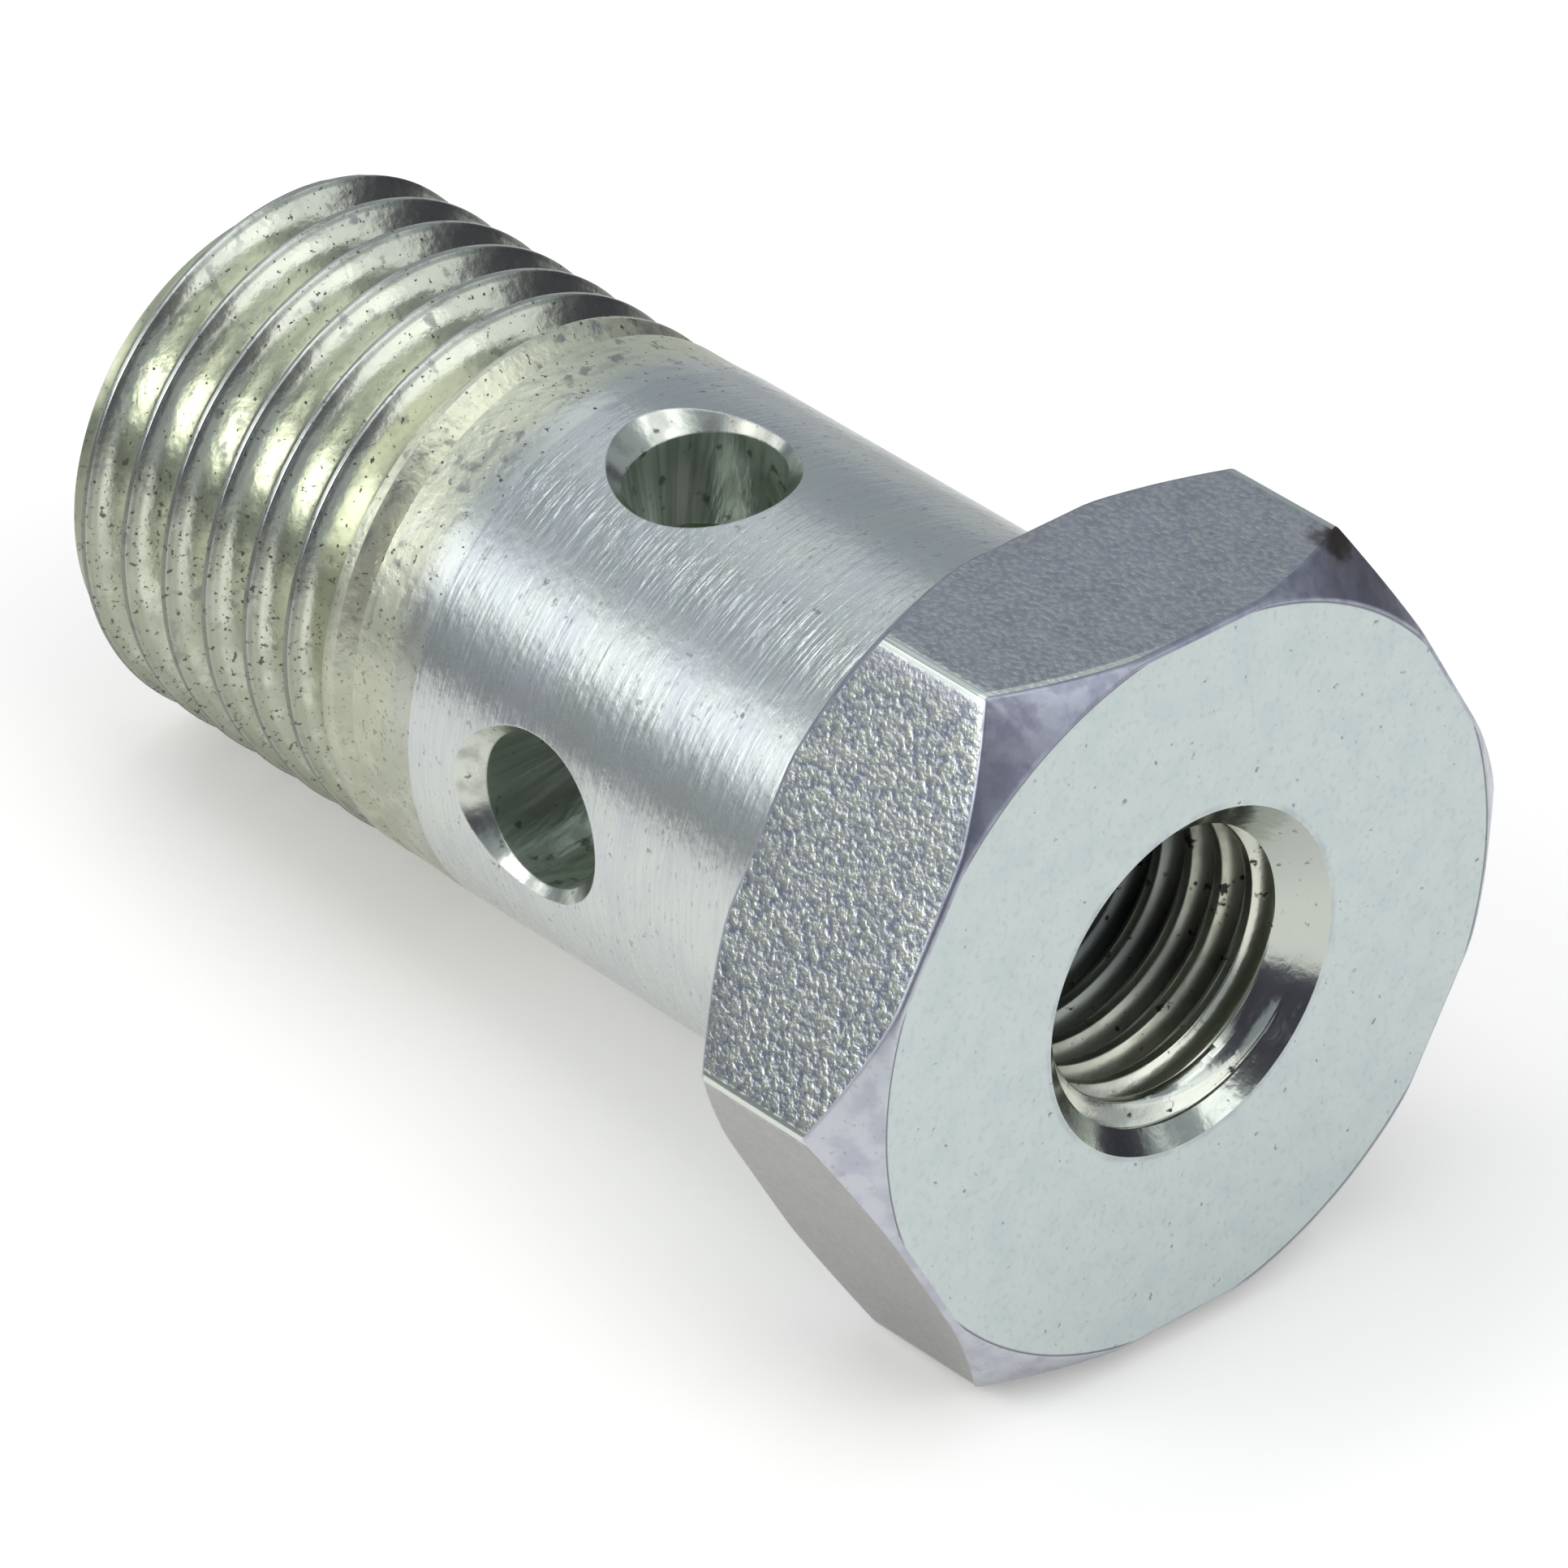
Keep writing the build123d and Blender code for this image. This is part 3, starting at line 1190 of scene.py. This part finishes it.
# The finish of each zone. Sizes are those of the real marks, in millimetres.
FINISHES: dict[Zone, ZincFinish] = {
    # Faced in the lathe, then plated: matt, so it shows one even pale tone. The plate's
    # grain is finer than 0.05 mm, and is drawn at 0.2 mm to show.
    Zone.FACED: ZincFinish(
        "zinc_plate_on_faced_steel",
        "#C7D0CF",
        0.45,
        layers=(
            Layer(Grain(0.9, 0.9, 0.35, 0.7), "#BEC8CA", 0.6, 0.45),
            Layer(Grain(0.2, 0.2, 0.5, 0.75, 3.0), "#B2BBBD", 0.5, 0.5),
            Layer(Grain(0.3, 0.3, 0.68, 0.76), "#74787C", 0.7, 0.5),
            Layer(Band("Radius", 9.47, 0.05, 0.05), "#5E5560", 0.75, 0.5),
            Layer(MOUTH_RIM, "#9A989E", 0.45, 0.4),
        ),
        relief=(Relief(Grain(0.2, 0.2, 0.2, 0.8, 3.0), 0.006),),
    ),
    # Turned chamfers of the head and the bolt's end: smooth enough to mirror softly.
    Zone.CHAMFERED: ZincFinish(
        "zinc_plate_on_turned_chamfer",
        "#BCBFC6",
        0.35,
        layers=(
            Layer(Grain(0.7, 0.7, 0.4, 0.66, 3.0), "#A3A4B2", 0.6, 0.4),
            Layer(Grain(0.18, 0.18, 0.6, 0.75), "#80838A", 0.4, 0.4),
            # Painted shade: the upper chamfers darker and violet, with a darker mottle.
            Layer(UPPER_CORNERS, "#8B8C9E", 0.5, 0.38),
            Layer(CORNER_MOTTLE, "#74768A", 0.45, 0.42),
            Layer(BROWN_PATCH, "#3B3227", 0.9, 0.6),
        ),
        relief=(Relief(Grain(0.35, 0.35, 0.2, 0.8, 3.0), 0.003),),
    ),
    # Cold-drawn flats, pickled before plating: a skin of small rounded grains that
    # sparkle cream where a grain leans towards a lamp, partly as painted sparkle.
    Zone.DRAWN: ZincFinish(
        "zinc_plate_on_cold_drawn_flat",
        "#ABAEB8",
        0.3,
        layers=(
            Layer(Grain(0.8, 0.8, 0.35, 0.7), "#94959E", 0.6, 0.36),
            # Painted shade: the side flats darker and bluer.
            Layer(SIDE_FLATS, "#737E8D", 0.8, 0.32),
            # Grains painted pale and cream: real grain and partly a painted sparkle.
            Layer(BLOBS, "#CCCBC6", 0.66, 0.3),
            Layer(COARSE_BLOBS, "#CDD0BE", 0.5, 0.28),
            # Painted shade: the flats that face down warmer and darker.
            Layer(LOW_FLATS, "#94938D", 0.7, 0.38),
            Layer(Grain(0.3, 0.3, 0.6, 0.75), "#8C969C", 0.5, 0.4),
            Layer(BROWN_PATCH, "#3B3227", 0.9, 0.6),
            # Painted highlight with wear along the corners between flats.
            Layer(CORNER, "#D2D8D0", 0.9, 0.25),
            # Painted highlight with wear along the crease.
            Layer(CREASE, "#E6EAE0", 0.95, 0.3),
        ),
        relief=(
            Relief(Both(BLOBS, Outside(CORNER)), 0.009),
            Relief(Both(COARSE_BLOBS, Outside(CORNER)), 0.008),
        ),
    ),
    # Turned and plated shank: rings left by the tool draw the lamps out along it. The
    # real ones lie about 0.05 mm apart, and are drawn at 0.09 mm or more to show.
    Zone.TURNED: ZincFinish(
        "zinc_plate_on_turned_shank",
        "#C8CCC8",
        0.25,
        layers=(
            Layer(Grain(2.2, 1.4, 0.35, 0.7), "#BDC1C8", 0.5, 0.3),
            Layer(Grain(1.6, 0.09, 0.42, 0.62, 3.0), "#B2BABC", 0.3, 0.32),
            Layer(Grain(0.3, 0.12, 0.62, 0.74, 3.0), "#7F878C", 0.6, 0.4),
            Layer(Grain(0.35, 0.35, 0.68, 0.76, 3.0), "#5A5C5E", 0.7, 0.5),
        ),
        relief=(
            Relief(Grain(2.4, 0.10, 0.2, 0.8, 4.0), 0.006),
            Relief(Grain(0.5, 0.3, 0.2, 0.8, 3.0), 0.008),
        ),
        anisotropy=0.3,
        worn_edge=0.07,
    ),
    # Cut thread: bright flanks that mirror each other, so the plate's yellow doubles, dark
    # specks of dirt, a darker lower part, and painted shade and highlights at the crests.
    Zone.THREADED: ZincFinish(
        "zinc_plate_on_cut_thread",
        "#CFD2C2",
        0.19,
        layers=(
            # Crests: a darker tone, painted shade on the flanks next to them on the lower part, a
            # painted shade line along their edges and a painted highlight line along their middle.
            Layer(Band("Radius", 6.95, 0.07, 0.08), "#B4B9AE", 0.75, 0.22),
            Layer(Both(UNDERSIDE, Band("Radius", 6.95, 0.22, 0.12)), "#9A9E90", 0.85, 0.28),
            Layer(Band("Radius", 6.85, 0.02, 0.04), "#777C78", 0.4, 0.3),
            Layer(Band("Radius", 6.97, 0.04, 0.03), "#BDC0B9", 0.9, 0.24),
            Layer(Band("Station", 21.3, 1.2, 0.9), "#DCDEC6", 0.85, 0.44),
            Layer(Band("Station", 18.4, 1.0, 1.2), "#CED2CE", 1.0, 0.28),
            Layer(Grain(1.4, 0.35, 0.5, 0.7, 3.0), "#BFC3BA", 0.5, 0.22),
            Layer(STAINS, "#6F757A", 0.6, 0.35),
            Layer(Grain(0.14, 0.14, 0.64, 0.71, 3.0), "#33352E", 0.85, 0.45),
            # Darker towards the bottom of the thread.
            Layer(LOW_FILM, "#A5A998", 0.7, 0.35),
            Layer(Both(UNDERSIDE, Grain(0.15, 0.15, 0.6, 0.69, 3.0)), "#35372F", 0.75, 0.45),
            Layer(CREST_LINE, "#55594F", 0.65, 0.4),
            Layer(Both(UNDERSIDE, Band("Station", 20.6, 2.2, 0.8)), "#A4A796", 0.55, 0.4),
            Layer(Band("Station", 32.6, 0.55, 0.4), "#B2B6A8", 0.6, 0.38),
        ),
        relief=(
            Relief(Grain(0.5, 0.3, 0.2, 0.8, 3.0), 0.006),
            Relief(RUNOUT_PITS, 0.008),
        ),
        anisotropy=0.2,
    ),
    # Plain drilled bore, hardly reached by the plating bath.
    Zone.BORED: ZincFinish(
        "thin_zinc_in_drilled_bore",
        "#B4BFAA",
        0.42,
        layers=(Layer(Grain(0.6, 1.6, 0.4, 0.7), "#98A08F", 0.6, 0.5),),
        relief=(Relief(Grain(1.5, 0.12, 0.2, 0.8, 3.0), 0.01),),
    ),
    # Tapped hole: cream ridges, a darker tone deep in the grooves, and black specks of dirt.
    Zone.TAPPED: ZincFinish(
        "zinc_plate_on_tapped_thread",
        "#C9CBB9",
        0.36,
        layers=(
            Layer(Band("Station", 9.0, 3.5, 3.0), "#8F9596", 0.85, 0.45),
            Layer(Grain(0.9, 0.2, 0.45, 0.7, 3.0), "#94958A", 0.6, 0.4),
            # Darker deep in the grooves.
            Layer(GROOVE_DIRT, "#454842", 0.58, 0.5),
            Layer(Band("Station", 0.6, 1.1, 0.4), "#D2D4C8", 0.9, 0.2),
            Layer(Grain(0.45, 0.35, 0.64, 0.7, 3.0), "#22221F", 0.9, 0.6),
            Layer(Band("Flare", 4.4, 0.02, 0.01), "#BABFB7", 1.0, 0.17),
            Layer(Grain(0.25, 0.25, 0.66, 0.74, 3.0), "#5E5F5E", 0.7, 0.4),
        ),
        relief=(Relief(Grain(0.4, 0.3, 0.2, 0.8, 3.0), 0.004),),
    ),
    # Countersinks: cut with a rose bit, brighter than the walls round them.
    Zone.COUNTERSUNK: ZincFinish(
        "zinc_plate_on_countersink",
        "#C6CAC1",
        0.2,
        layers=(
            Layer(Grain(0.6, 0.6, 0.42, 0.68, 3.0), "#8F908A", 0.6, 0.28),
            Layer(Grain(0.25, 0.25, 0.64, 0.74, 3.0), "#55565A", 0.8, 0.4),
            Layer(Spot((6.85, 1.0, 16.5), 0.9, 0.5), "#7B7A74", 0.65, 0.4),
        ),
        relief=(Relief(Grain(0.5, 0.5, 0.2, 0.8, 3.0), 0.005),),
        worn_edge=0.07,
    ),
    # Cross holes: drill marks run down them, and old fluid has dulled the plate.
    Zone.DRILLED: ZincFinish(
        "zinc_plate_in_cross_drilling",
        "#DDE6DC",
        0.4,
        layers=(
            Layer(Grain(0.35, 0.35, 0.4, 0.62, 3.0, spokes=True), "#A3AEA0", 0.65, 0.44),
            Layer(Grain(0.5, 0.5, 0.6, 0.72, 3.0), "#4E544A", 0.7, 0.5),
        ),
        relief=(Relief(Grain(0.2, 0.2, 0.2, 0.8, 3.0, spokes=True), 0.012),),
        worn_edge=0.07,
    ),
}


# ---- studio ----


@dataclass(frozen=True)
class StudioPiece:
    """Something flat that faces the bolt, placed by the direction it stands in."""

    name: str
    azimuth: float  # degrees round from +X towards +Y
    elevation: float  # degrees above the floor
    width: float  # degrees, as the bolt sees it
    height: float

    @property
    def away(self) -> Vector:
        """The direction of the piece.

        Returns:
            Unit vector from the bolt towards it.
        """
        turn, rise = math.radians(self.azimuth), math.radians(self.elevation)
        level = math.cos(rise)
        return Vector((math.cos(turn) * level, math.sin(turn) * level, math.sin(rise)))

    def halves(self, reach: float) -> tuple[float, float]:
        """Half its width and half its height at a distance."""
        wide, tall = math.radians(self.width / 2), math.radians(self.height / 2)
        return reach * math.tan(wide), reach * math.tan(tall)


@dataclass(frozen=True)
class Softbox(StudioPiece):
    """A soft lamp."""

    radiance: float
    distance: float = 600.0

    def hang(self, aim: Vector) -> None:
        """Add the lamp.

        Args:
            aim: the point that it faces, in metres.
        """
        reach = self.distance * METRE
        wide, tall = self.halves(reach)
        lamp = bpy.data.lights.new(self.name, "AREA")
        lamp.shape = "RECTANGLE"
        lamp.size, lamp.size_y = 2.0 * wide, 2.0 * tall
        lamp.energy = self.radiance * math.pi * lamp.size * lamp.size_y
        holder = put(self.name, lamp)
        holder.location = aim + self.away * reach
        holder.rotation_mode = "QUATERNION"
        holder.rotation_quaternion = self.away.to_track_quat("Z", "Y")
        holder.visible_camera = False


@dataclass(frozen=True)
class Panel(StudioPiece):
    """A glowing panel of even tone that only reflections see: a painted reflection, no lamp.

    It stands for the darker parts of the room, which shape what the metal mirrors.
    """

    tone: str
    distance: float = 500.0

    def stand(self, aim: Vector) -> None:
        """Add the panel.

        Args:
            aim: the point that it faces, in metres.
        """
        reach = self.distance * METRE
        wide, tall = self.halves(reach)
        mesh = bpy.data.meshes.new(self.name)
        corners = [(-wide, -tall, 0), (wide, -tall, 0), (wide, tall, 0), (-wide, tall, 0)]
        mesh.from_pydata(corners, [], [(0, 1, 2, 3)])
        facing = self.away.to_track_quat("Z", "Y").to_matrix().to_4x4()
        mesh.transform(Matrix.Translation(aim + self.away * reach) @ facing)
        panel = put(self.name, mesh)
        material = bare_material(f"glowing_reflection_panel_{self.name}")
        tree = material.node_tree
        glow = add(tree, "ShaderNodeEmission", {"Color": linear(self.tone)})
        add(tree, "ShaderNodeOutputMaterial", {"Surface": glow.outputs[0]})
        mesh.materials.append(material)
        panel.visible_camera = panel.visible_diffuse = panel.visible_shadow = False


# The lamps round the table, and the darker parts of the room.
SOFTBOXES = (
    Softbox("left_strip", -138.0, 23.0, 24.0, 18.0, 1.4),
    Softbox("left_high_strip", -107.5, 33.0, 24.0, 26.0, 4.4),
    Softbox("left_top_strip", -138.0, 57.0, 34.0, 10.0, 2.0),
    Softbox("back_left_strip", 160.0, 41.0, 26.0, 12.0, 0.62),
    Softbox("front_high_box", 6.0, 53.0, 36.0, 18.0, 1.6),
    Softbox("front_right_box", 16.0, 28.0, 32.0, 26.0, 1.1),
    Softbox("front_right_fill", 45.0, 24.0, 26.0, 20.0, 0.6),
    Softbox("top_strip", 178.0, 66.0, 36.0, 12.0, 2.4),
    Softbox("overhead", 0.0, 80.0, 42.0, 38.0, 1.1),
)
# Glowing panels seen only in reflections: painted reflections of parts of the room.
PANELS = (
    Panel("camera_side", -45.0, 24.0, 36.0, 46.0, "#4A4856"),
    Panel("camera_side_high", -16.0, 38.0, 32.0, 20.0, "#3C3A48"),
    Panel("right_low", 80.0, 7.0, 46.0, 34.0, "#3E3C48", 90.0),
    Panel("left_low", -130.0, 6.0, 70.0, 12.0, "#7F858C"),
    Panel("left_card", -130.0, -3.0, 60.0, 9.0, "#565C63", 60.0),
    Panel("back_low", 128.0, -11.0, 80.0, 30.0, "#B8BABC", 45.0),
)


@dataclass(frozen=True)
class Studio:
    """Pale floor, pale surroundings, softboxes and the camera."""

    world_grey: str = "#A9B0B7"
    floor_colour: str = "#F6F3EE"
    floor_radius: float = 4.0  # metres
    floor_glow: float = 0.2  # keeps the bare table top white to the camera
    lamp_aim_height: float = 8.0
    eye: tuple[float, float, float] = (169.31, -165.53, 184.08)
    aim: tuple[float, float, float] = (2.455, 0.0, 7.269)
    roll: float = 4.726
    lens: float = 287.55
    sensor: float = 36.0
    clip: tuple[float, float] = (0.01, 20.0)  # metres

    def build(self) -> None:
        """Set the whole studio up."""
        scene = bpy.context.scene
        scene.view_settings.view_transform = "Standard"
        world = bpy.data.worlds.new("studio")
        world.use_nodes = True
        world.node_tree.nodes["Background"].inputs["Color"].default_value = linear(self.world_grey)
        scene.world = world
        self._floor()
        middle = Vector((0.0, 0.0, self.lamp_aim_height * METRE))
        for box in SOFTBOXES:
            box.hang(middle)
        for panel in PANELS:
            panel.stand(middle)
        self._camera()

    def _floor(self) -> None:
        """A large pale table top that shows as white and keeps the shadow."""
        work = bmesh.new()
        bmesh.ops.create_circle(work, cap_ends=True, segments=96, radius=self.floor_radius)
        mesh = bpy.data.meshes.new("table_top")
        work.to_mesh(mesh)
        work.free()
        floor = put("table_top", mesh)
        material = bare_material("matt_white_laminate")
        tree = material.node_tree
        rays = add(tree, "ShaderNodeLightPath", {}).outputs
        seen = rays["Is Camera Ray"]
        for ray in ("Is Glossy Ray", "Is Transmission Ray"):
            seen = add(tree, MATH, {0: seen, 1: rays[ray]}, operation="MAXIMUM").outputs[0]
        colour = {"Color": linear(self.floor_colour)}
        surface = add(tree, "ShaderNodeBsdfDiffuse", colour).outputs[0]
        white = {"Color": (1, 1, 1, 1), "Strength": self.floor_glow}
        glow = add(tree, "ShaderNodeEmission", white).outputs[0]
        lit = add(tree, "ShaderNodeAddShader", {0: surface, 1: glow}).outputs[0]
        mix = add(tree, "ShaderNodeMixShader", {0: seen, 1: surface, 2: lit})
        add(tree, "ShaderNodeOutputMaterial", {"Surface": mix.outputs[0]})
        mesh.materials.append(material)

    def _camera(self) -> None:
        """A long lens that looks down on the head's end."""
        data = bpy.data.cameras.new("camera")
        data.lens = self.lens
        data.sensor_width = self.sensor
        data.clip_start, data.clip_end = self.clip
        camera = put("camera", data)
        eye, aim = Vector(self.eye) * METRE, Vector(self.aim) * METRE
        facing = (aim - eye).to_track_quat("-Z", "Y")
        camera.location = eye
        camera.rotation_mode = "QUATERNION"
        camera.rotation_quaternion = facing @ Quaternion((0, 0, 1), math.radians(self.roll))
        bpy.context.scene.camera = camera


# ---- making it ----


def main() -> None:
    """Build the bolt and the studio."""
    logging.basicConfig(level=logging.INFO, format="%(name)s: %(message)s")
    sizes = BoltSizes()
    places = PlaceGroup(BoltFrame(sizes))
    materials = {zone: finish.build(places) for zone, finish in FINISHES.items()}
    bolt = BanjoBolt(sizes, materials).build()
    log.info("%s: %d faces", bolt.name, len(bolt.data.polygons))
    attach(bolt, "root")
    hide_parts("banjo_bolt")
    Studio().build()
    log.info("studio: %d softboxes, %d panels", len(SOFTBOXES), len(PANELS))


if __name__ == "__main__":
    main()
